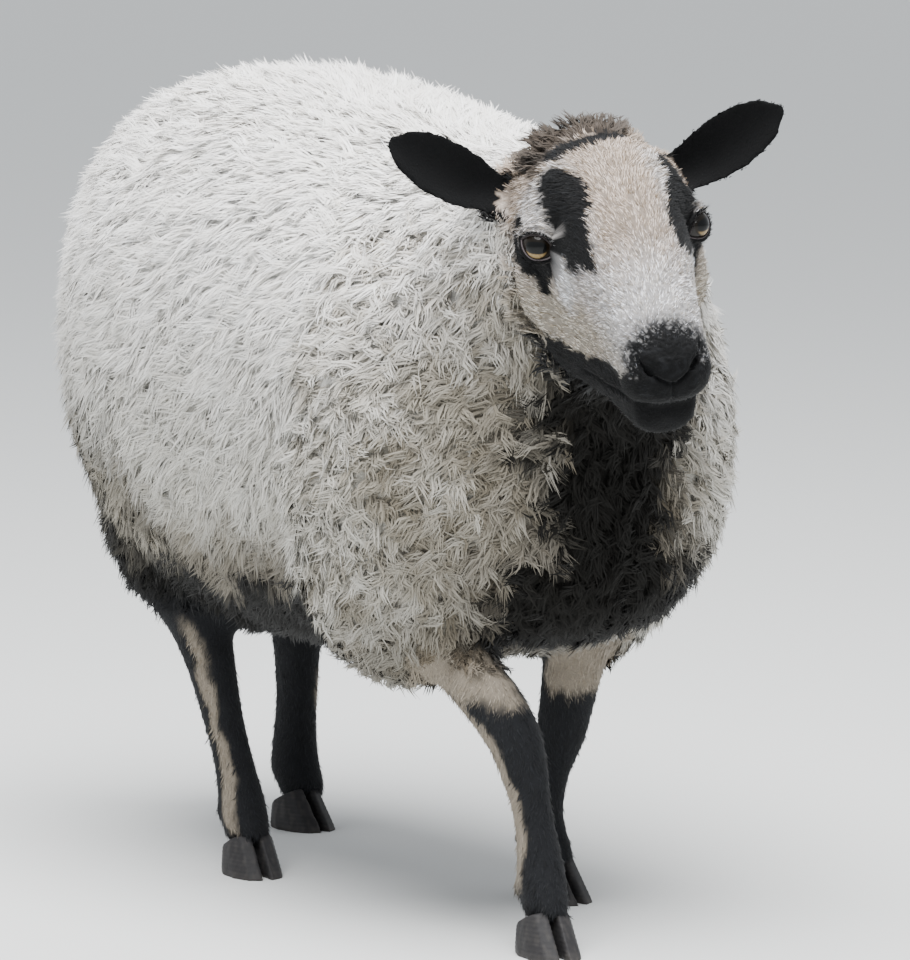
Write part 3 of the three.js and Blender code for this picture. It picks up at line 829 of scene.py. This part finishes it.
def strands_from(roots, normals, lie, length, style, colour, place, seed):
    """The strands of all the locks at the roots, as arrays: points, normals, colours and unwrap."""
    draw = np.random.default_rng(seed)
    count, each, rows = len(roots), style["strands"], style["rows"]
    lock, strand = (count, 1, 1), (count, each, 1)
    t = np.linspace(0, 1, rows + 1)[None, None, :]
    lift = np.radians(style["lift"] + draw.normal(0, 7, lock))
    bend = style["bend"] * draw.uniform(0.6, 1.4, lock)
    inward = gathering(roots, normals, seed) if style["gather"] else np.zeros((count, 3))
    edge = ramp(size(inward) / (CLUMP * MM), 0.12, 0.72)[:, None, None]
    long = length[:, None, None] * draw.uniform(0.85, 1.12, lock) * draw.uniform(0.72, 1.12, strand)
    long = long * (1 + style["heap"] * (0.4 - edge))
    ahead = np.cos(lift) * t + bend * t ** 2 * 0.75
    above = np.sin(lift) * t - bend * t ** 2 * 0.62
    angle = draw.uniform(0, 2 * math.pi, strand)
    radius = style["radius"] * np.sqrt(draw.uniform(0, 1, strand))
    hold = 1 - (1 - style["converge"]) * t
    phase = draw.uniform(0, 2 * math.pi, lock) + draw.normal(0, 0.35, strand)
    phase = phase + 2 * math.pi * style["turns"] * t
    swing = style["wave"] * np.sin(phase) * t ** 0.6
    sway = style["wave"] * np.cos(phase) * t ** 0.6
    loose = style["scatter"] * draw.normal(0, 1, (3, *strand)) * t
    a = ahead * long + (radius * np.cos(angle) * hold + loose[0] + 0.6 * sway) * MM
    b = (radius * np.sin(angle) * hold + swing + loose[1]) * MM
    c = above * long + (0.5 * loose[2] + 0.5 * sway) * MM - 0.5 * MM
    swirl = np.radians(draw.normal(0, style["swirl"], count))[:, None]
    lie = lie * np.cos(swirl) + np.cross(normals, lie) * np.sin(swirl)
    across = np.cross(normals, lie)
    base, forward, side, up = (v[:, None, None, :] for v in (roots, lie, across, normals))
    centre = base + forward * a[..., None] + side * b[..., None] + up * c[..., None]
    centre = centre + style["gather"] * inward[:, None, None, :] * (t ** 1.5)[..., None]
    twist = draw.uniform(-0.6, 0.6, (*strand, 1))
    wide = side * np.cos(twist) + up * np.sin(twist)
    half = style["width"] * MM * (0.55 + 0.75 * t) * np.sqrt(np.maximum(1 - t ** 2.2, 0.004))
    half = half[..., None] * draw.uniform(0.75, 1.25, (*strand, 1))
    points = np.stack([centre - wide * half, centre + wide * half], axis=3)
    face = unit(np.cross(np.gradient(centre, axis=2), wide))
    bulge = forward * np.cos(angle)[..., None] + side * np.sin(angle)[..., None]
    rounded = 0.14 * face + up + 0.22 * bulge * (radius / style["radius"])[..., None]
    shading = unit(np.stack([rounded - 0.18 * wide, rounded + 0.18 * wide], axis=3))
    # Painted shade towards the roots, down to the style's shade, and a random tone for each strand
    tone = style["shade"] + (1 - style["shade"]) * t ** 0.9
    tone = tone * (1 + style["vary"] * draw.uniform(-1, 1, strand))
    # Painted shade at the clump's edge (valley), and a random tone for each lock
    tone = tone * draw.uniform(0.93, 1.06, lock) * (1 - style["valley"] * edge)
    paint = colour[:, None, None, None, :] * np.maximum(tone, 0.05)[..., None, None] ** ROOT_SHADE_WARMTH
    paint = np.broadcast_to(paint, points.shape)
    patch = PATCH * np.stack(np.broadcast_arrays([-0.5, 0.5], t[..., None] - 0.5), axis=-1)
    uv = np.broadcast_to(place[:, None, None, None] + patch, (*points.shape[:-1], 2))
    return points, shading, paint, uv


def strand_mesh(name, points, shading, paint, uv):
    """One mesh from the strands' arrays, each strand a strip of quads."""
    count, each, levels = points.shape[:3]
    total = count * each
    first = (np.arange(total) * levels * 2)[:, None, None]
    step = (np.arange(levels - 1) * 2)[None, :, None]
    quads = (first + step + np.array([0, 2, 3, 1])[None, None, :]).reshape(-1, 4)
    mesh = bpy.data.meshes.new(name)
    mesh.vertices.add(total * levels * 2)
    mesh.vertices.foreach_set("co", points.astype(np.float32).ravel())
    mesh.loops.add(quads.size)
    mesh.loops.foreach_set("vertex_index", quads.astype(np.int32).ravel())
    mesh.polygons.add(len(quads))
    mesh.polygons.foreach_set("loop_start", np.arange(0, quads.size, 4, dtype=np.int32))
    mesh.update(calc_edges=True)
    smooth_faces(mesh)
    layer = mesh.uv_layers.new(name="OFBake")
    layer.uv.foreach_set("vector", uv.reshape(-1, 2)[quads.ravel()].astype(np.float32).ravel())
    paint_points(mesh, paint.reshape(-1, 3))
    mesh.normals_split_custom_set_from_vertices(shading.reshape(-1, 3).astype(np.float32))
    return mesh


def paint_points(mesh, colours):
    layer = mesh.color_attributes.new("coat", "FLOAT_COLOR", "POINT")
    values = np.ones((len(colours), 4), dtype=np.float32)
    values[:, :3] = colours
    layer.data.foreach_set("color", values.ravel())


def coat_pieces(name, style, chosen, material, seed, length):
    """Covers the chosen part of the skin with locks, in as many pieces as its triangles need."""
    roots = thinned(skin_points, chosen, style["spacing"] * (1), seed)
    roots = roots[np.argsort(skin_points[roots, 1], kind="stable")]
    faces = style["strands"] * style["rows"] * 2
    share = max(1, math.ceil(len(roots) * faces / PIECE_FACES))
    for number, group in enumerate(np.array_split(roots, share)):
        arrays = strands_from(skin_points[group], skin_normals[group], skin_lie[group], length[group],
                              style, skin_colour[group], skin_place[group], seed + 10 * number)
        piece = linked_object(f"{name}_{number + 1}", strand_mesh(name, *arrays), material)
        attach(piece, "root")


def new_material(name, **values):
    """A material with these values on its shader's inputs."""
    material = bpy.data.materials.new(name)
    material.use_nodes = True
    shader = material.node_tree.nodes["Principled BSDF"]
    for label, value in values.items():
        shader.inputs[label.replace("_", " ")].default_value = value
    return material


def painted_material(name, grain, detail, contrast, strength, distance, **values):
    """A surface coloured by its points, mottled and bumped by a fine noise that stays with the piece."""
    material = new_material(name, **values)
    add, link = material.node_tree.nodes.new, material.node_tree.links.new
    shader = material.node_tree.nodes["Principled BSDF"]
    where = add("ShaderNodeTexCoord")
    noise = add("ShaderNodeTexNoise")
    noise.inputs["Scale"].default_value = grain
    noise.inputs["Detail"].default_value = detail
    link(where.outputs["Object"], noise.inputs["Vector"])
    tone = add("ShaderNodeMapRange")
    tone.inputs["To Min"].default_value = 1.0 - contrast
    tone.inputs["To Max"].default_value = 1.0 + contrast
    link(noise.outputs["Fac"], tone.inputs["Value"])
    paint = add("ShaderNodeAttribute")
    paint.attribute_name = "coat"
    shaded = add("ShaderNodeVectorMath")
    shaded.operation = "SCALE"
    link(paint.outputs["Color"], shaded.inputs[0])
    link(tone.outputs["Result"], shaded.inputs["Scale"])
    link(shaded.outputs["Vector"], shader.inputs["Base Color"])
    bump = add("ShaderNodeBump")
    bump.inputs["Strength"].default_value = strength
    bump.inputs["Distance"].default_value = distance
    link(noise.outputs["Fac"], bump.inputs["Height"])
    link(bump.outputs["Normal"], shader.inputs["Normal"])
    return material


def coat_material(name, roughness, sheen, grain, contrast, strength):
    """Hair, wool, skin or horn."""
    return painted_material(name, grain, 3.0, contrast, strength, 1.2 * MM, Roughness=roughness,
                            Specular_IOR_Level=0.14, Sheen_Weight=sheen, Sheen_Roughness=0.5)


def gloss_material(name, roughness, coat):
    """A wet surface, with a faint unevenness and no mottle."""
    return painted_material(name, 500.0, 2.0, 0.0, 0.04, 0.5 * MM, Roughness=roughness,
                            Specular_IOR_Level=0.05, Coat_Weight=coat, Coat_IOR=1.33, Coat_Roughness=0.03)


wool_material = coat_material("wool", 0.95, 0.12, 900.0, 0.10, 0.12)
hair_material = coat_material("hair", 0.65, 0.05, 1400.0, 0.34, 0.3)
skin_material = coat_material("skin", 0.85, 0.03, 700.0, 0.22, 0.5)

skin_points = coordinates(skin.data)
skin_in_head = to_head(skin_points)
skin_normals = vertex_normals(skin.data)
skin_lie = lie_of_coat(skin_points, skin_normals, skin_part)
skin_colour = coat_colour(skin_points, skin_part, skin_depth)
skin_place = unwrapped(skin_points, skin_part)


def finish_skin():
    """Colours the skin and thins its faces where the wool hides it."""
    mesh = skin.data
    short_hair = np.where(on_head, 0.42, 0.75)[:, None]
    paint_points(mesh, skin_colour * mix(short_hair, 0.95, ramp(skin_depth / MM, 3, 9)))
    mesh.materials.clear()
    mesh.materials.append(skin_material)
    covered = skin_depth > SHORT_COAT * MM
    hidden = skin.vertex_groups.new(name="hidden")
    hidden.add(np.flatnonzero(covered).tolist(), 1.0, "REPLACE")
    fewer = skin.modifiers.new("fewer", "DECIMATE")
    fewer.ratio = BODY_FACES + (1 - BODY_FACES) * np.mean(~covered)
    fewer.vertex_group = "hidden"
    smooth_faces(baked(skin))
    skin.vertex_groups.clear()


def face_hair_length():
    """How long the hair of the face is: longest on the brow, shortest on the nose and by the eyes."""
    at = skin_in_head
    long = 4.8 + 1.9 * ramp(at[:, 1], -70, 10) * ramp(at[:, 2], -30, 30) - 1.8 * ramp(-at[:, 1], 90, 135)
    long *= 0.45 + 0.55 * ramp(size((at - [0, -150, -32]) / [17, 14, 15]), 0.9, 1.25)
    return long * (0.35 + 0.65 * ramp(outside_lids(at, 30), 3, 26)) * MM


def bare():
    """Where no hair grows: in and at the edge of the lids, and in the nostrils."""
    in_nostril = nearest_on(NOSTRIL, one_sided(skin_in_head))[0] < 2.2
    return in_nostril | (outside_lids(skin_in_head, 24) < 2.5)


woolly = skin_depth > WOOLLY * MM
on_head = lies_on(skin_part, "head")
on_ear = lies_on(skin_part, "ear_left", "ear_right")
curly = skin_points[:, 1] < CURLS_BACK + CURLS_STRAY * wobble(skin_points / MM, 60, 31)
curly &= woolly & (skin_points[:, 2] < CURLS_TOP)
wool_share = np.clip(skin_depth / (10.0 * MM), 0.3, 1.1)
tuft_share = (0.4 + 0.6 * wool_share) * (0.5 + 0.5 * ramp(skin_in_head[:, 0], 36, 20))
coat_pieces("fleece", PLUSH, woolly & ~curly & ~on_head, wool_material, 100,
            PLUSH["length"] * wool_share * MM)
coat_pieces("curls", CURL, curly & ~on_head, wool_material, 300,
            CURL["length"] * wool_share * MM)
coat_pieces("poll_wool", TUFT, woolly & on_head, wool_material, 400,
            TUFT["length"] * tuft_share * MM)
coat_pieces("leg_hair", HAIR, ~woolly & ~on_head, hair_material, 500,
            HAIR["length"] * np.where(on_ear, 0.30, 0.9) * MM)
coat_pieces("face_hair", FACE_HAIR, ~woolly & on_head & ~bare(), hair_material, 700,
            face_hair_length())
finish_skin()

# ---------- eyes ----------

EYE_ROWS = 90
EYE_SIDES = 128
RIM_SAMPLES = 60
RIM_SIDES = 10
LASHES = 90
CORNEA = 1.5  # how far the cornea bulges, mm
IRIS = 38.0  # half its breadth, in degrees round the eyeball
PUPIL_WIDE = 29.0
PUPIL_HIGH = 15.5

IRIS_GOLD = np.array([0.30, 0.205, 0.085])
IRIS_BROWN = np.array([0.060, 0.038, 0.018])
PUPIL = np.array([0.0008, 0.0010, 0.0012])
EYE_WHITE = np.array([0.020, 0.017, 0.015])
LID_RIM = np.array([0.022, 0.018, 0.018])
# The lower lid's paler edge, partly a painted highlight along its wet side
LID_PALE_AND_HIGHLIGHT = np.array([0.105, 0.088, 0.092])


def ring_mesh(name, points):
    """A mesh over rows of points, each row closed on itself."""
    rows, sides = points.shape[:2]
    numbers = np.arange(rows * sides).reshape(rows, sides)
    numbers = np.concatenate([numbers, numbers[:, :1]], axis=1)
    quads = [numbers[:-1, :-1], numbers[:-1, 1:], numbers[1:, 1:], numbers[1:, :-1]]
    quads = np.stack(quads, axis=-1).reshape(-1, 4)
    mesh = bpy.data.meshes.new(name)
    mesh.from_pydata(points.reshape(-1, 3).tolist(), [], quads.tolist())
    smooth_faces(mesh)
    return mesh


def eye_colour(along, above, away):
    """The iris with its level slot of a pupil, dark at its rim; angles round the eyeball, degrees."""
    turn = np.arctan2(above, along)
    streaks = 0.5 + 0.5 * np.sin(turn * 37 + 2.2 * np.sin(turn * 11)) * np.sin(turn * 61 + 1.3)
    brown = 0.55 * streaks * ramp(away, 12, 30) + 0.25 * ramp(above, 0, 22)
    colour = mix(IRIS_GOLD, IRIS_BROWN, brown)
    slot = (np.abs(along / PUPIL_WIDE) ** 3 + np.abs(above / PUPIL_HIGH) ** 3) ** (1 / 3)
    colour = mix(colour, IRIS_BROWN * 0.6, ramp(slot, 1.26, 1.05))
    colour = mix(colour, IRIS_BROWN * 0.08, ramp(above, -16, -8))
    colour = mix(colour, IRIS_BROWN * 0.15, ramp(away, IRIS - 9, IRIS - 2))
    colour = mix(colour, PUPIL, ramp(slot, 1.08, 0.98))
    white = mix(EYE_WHITE, EYE_WHITE * 0.25, ramp(away, 44, 70))
    return mix(colour, white, ramp(away, IRIS - 0.5, IRIS + 2))


def eyeball(side):
    """One eyeball, coloured in rings round its gaze, with a bulging cornea."""
    gaze, level, above = eye_frame(side, 0.0)
    away = 180 * (np.linspace(0, 1, EYE_ROWS) ** 1.35)[:, None]
    turn = np.linspace(0, 2 * math.pi, EYE_SIDES, endpoint=False)[None, :]
    along, high = away * np.cos(turn), away * np.sin(turn)
    spread = np.radians(away)[..., None]
    ring = np.cos(turn)[..., None] * level + np.sin(turn)[..., None] * above
    direction = np.cos(spread) * gaze + np.sin(spread) * ring
    radius = EYE_RADIUS + CORNEA * np.maximum(1 - (away / (IRIS + 4)) ** 2, 0) ** 1.2
    points = from_head(eye_middle(side) + direction * radius[..., None])
    if side == "left":
        points, along, high = (values[:, ::-1] for values in (points, along, high))
    mesh = ring_mesh(f"eye_{side}", points)
    paint_points(mesh, eye_colour(along.ravel(), high.ravel(), np.repeat(away[:, 0], EYE_SIDES)))
    piece = linked_object(f"eyeball_{side}", mesh, eye_material)
    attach(piece, "root")
    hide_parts(f"eye_{side}")


def lid_arch(across):
    """How high the edge of a lid arches at angles towards the tear duct, as a share of its middle."""
    return 1 - (across / np.where(across > 0, LID_INNER, LID_OUTER)) ** 2


def lid_rim(side):
    """The bare wet edge of both lids, as a tube over the top of the opening and back below."""
    over = np.linspace(-LID_OUTER, LID_INNER, RIM_SAMPLES)
    back = np.linspace(LID_INNER, -LID_OUTER, RIM_SAMPLES)[1:-1]
    around = np.concatenate([over, back])
    upper = np.arange(len(around)) < RIM_SAMPLES
    ways = round_eye(side, around, np.where(upper, LID_UPPER, -LID_LOWER) * lid_arch(around))
    path = eye_middle(side) + ways * (LID_RADIUS - 0.5)
    along = unit(np.roll(path, -1, axis=0) - np.roll(path, 1, axis=0))
    across = np.cross(along, ways)
    turn = np.linspace(0, 2 * math.pi, RIM_SIDES, endpoint=False)[None, :, None]
    thick = np.where(upper, 0.85, 0.62)[:, None, None]
    tube = path[:, None] + thick * (np.cos(turn) * ways[:, None] + np.sin(turn) * across[:, None])
    tube = np.concatenate([tube, tube[:1]])
    mesh = ring_mesh(f"lid_rim_{side}", from_head(tube))
    # Paler on one side of the lower rim's tube: the lid's own paler edge and a painted highlight
    pale_and_highlight = np.append(~upper, False)[:, None] * ramp(np.cos(turn[..., 0] - 0.6), 0.2, 0.9)
    paint_points(mesh, mix(LID_RIM, LID_PALE_AND_HIGHLIGHT, pale_and_highlight.ravel() * 0.8))
    piece = linked_object(f"lid_rim_{side}", mesh, rim_material)
    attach(piece, "root")


def lashes(side):
    """Lashes along the upper lid, longest over its middle."""
    gaze, _, up = eye_frame(side, LID_SLOPE)
    draw = np.random.default_rng(41)
    across = draw.uniform(-50, 44, LASHES)
    ways = round_eye(side, across, (LID_UPPER + 1.5) * lid_arch(across))
    t = np.linspace(0, 1, 6)[None, :, None]
    long = draw.uniform(6.0, 10.5, (LASHES, 1, 1)) * (1 - 0.35 * np.abs(across / 58))[:, None, None]
    out = unit(ways + 0.35 * gaze - 0.10 * up + draw.normal(0, 0.12, ways.shape))[:, None]
    path = eye_middle(side) + ways[:, None] * (LID_RADIUS - 0.3)
    path = path + long * (out * t + (up * 0.12 - gaze * 0.2) * t ** 2)
    wide = unit(np.cross(out, ways[:, None] + draw.normal(0, 0.3, ways.shape)[:, None]))
    width = 0.17 * (1 - 0.85 * t)
    points = from_head(np.stack([path - wide * width, path + wide * width], axis=2))[:, None]
    shading = np.broadcast_to(turn_from_head(ways)[:, None, None, None], points.shape)
    tint = np.where(draw.random(LASHES) < 0.75, 0.02, 0.35)[:, None, None, None, None]
    place = np.full((*points.shape[:-1], 2), 0.5)
    mesh = strand_mesh(f"lashes_{side}", points, shading, np.broadcast_to(tint, points.shape), place)
    piece = linked_object(f"lashes_{side}", mesh, hair_material)
    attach(piece, "root")


eye_material = gloss_material("eye", 0.4, 0.62)
rim_material = gloss_material("lid_rim", 0.35, 0.3)
for side in GAZE:
    eyeball(side)
    lid_rim(side)
    lashes(side)

# ---------- claws ----------

CLAWS = sorted(name for name in nodes if "claw" in name)
CLAW_VOXEL = 1.2 * MM
HORN = np.array([0.026, 0.025, 0.026])
HORN_PALE = np.array([0.052, 0.048, 0.045])


def claws():
    """All the claws as one piece: rounded edges, growth rings round the wall, flat soles."""
    piece = fused("claws", joined(CLAWS, {}, 0.0), CLAW_VOXEL)
    mesh = piece.data
    points = coordinates(mesh)
    level = points[:, 2] / MM
    points = relaxed(points, edges_of(mesh), np.full(len(points), 0.5), 8)
    way = vertex_normals(mesh)
    rings = np.sin(level * 2.1 + 0.7 * wobble(points / MM, 25, 51)) * ramp(np.abs(way[:, 2]), 0.7, 0.3)
    points = points + way * (rings * 0.18 * MM)[:, None]
    points[:, 2] = np.where(level < 0.6, level * MM, np.maximum(points[:, 2], 0))
    set_coordinates(mesh, points)
    streak = ramp(wobble(points / MM * [1, 1, 0.15], 5, 52), -0.2, 1.2) * 0.5 + 0.2 * rings
    worn = ramp(level + 1.5 * wobble(points / MM, 9, 53), 6, 1) * 0.5
    paint_points(mesh, mix(HORN, HORN_PALE, np.clip(streak + worn, 0, 1)))
    smooth_faces(mesh)
    mesh.materials.clear()
    mesh.materials.append(horn_material)
    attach(piece, "root")
    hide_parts(*CLAWS)


horn_material = coat_material("horn", 0.55, 0.0, 260.0, 0.22, 0.25)
claws()

# ---------- stage, light and camera ----------

CAMERA_AZIMUTH = -33.0
CAMERA_HEIGHT = 6.5
CAMERA_AT = (-2.1783, -3.4400 + SHIFT, 0.7475)
LENS = 218.18
WORLD_STRENGTH = 0.98
SKY_AT = (-0.6, -0.8, 3.2)  # a wide soft light above her right shoulder
SKY_TARGET = (0.0, 0.0, 0.3)
SKY_BREADTH = 3.0
SKY_POWER = 325.0
FLOOR_FAR = 60.0


def camera():
    data = bpy.data.cameras.new("camera")
    data.sensor_fit = "VERTICAL"
    data.sensor_height = 36.0
    data.lens = LENS
    data.clip_start = 0.05
    data.clip_end = 50.0
    piece = linked_object("camera", data)
    piece.location = CAMERA_AT
    piece.rotation_euler = (math.radians(90.0 - CAMERA_HEIGHT), 0.0, math.radians(CAMERA_AZIMUTH))
    bpy.context.scene.camera = piece


def sky_light():
    data = bpy.data.lights.new("sky", "AREA")
    data.shape = "DISK"
    data.size = SKY_BREADTH
    data.energy = SKY_POWER
    piece = linked_object("sky", data)
    piece.location = SKY_AT
    piece.rotation_euler = (Vector(SKY_TARGET) - Vector(SKY_AT)).to_track_quat("-Z", "Y").to_euler()


def studio():
    world = bpy.data.worlds.new("studio")
    world.use_nodes = True
    background = world.node_tree.nodes["Background"]
    background.inputs["Color"].default_value = (0.93, 0.96, 1.0, 1.0)
    background.inputs["Strength"].default_value = WORLD_STRENGTH
    bpy.context.scene.world = world
    mesh = bpy.data.meshes.new("floor")
    corners = [(x * FLOOR_FAR, y * FLOOR_FAR, 0) for x, y in ((-1, -1), (1, -1), (1, 1), (-1, 1))]
    mesh.from_pydata(corners, [], [(0, 1, 2, 3)])
    matt = new_material("floor", Base_Color=(0.72, 0.73, 0.72, 1.0), Roughness=0.9)
    floor = linked_object("floor", mesh, matt)


camera()
sky_light()
studio()
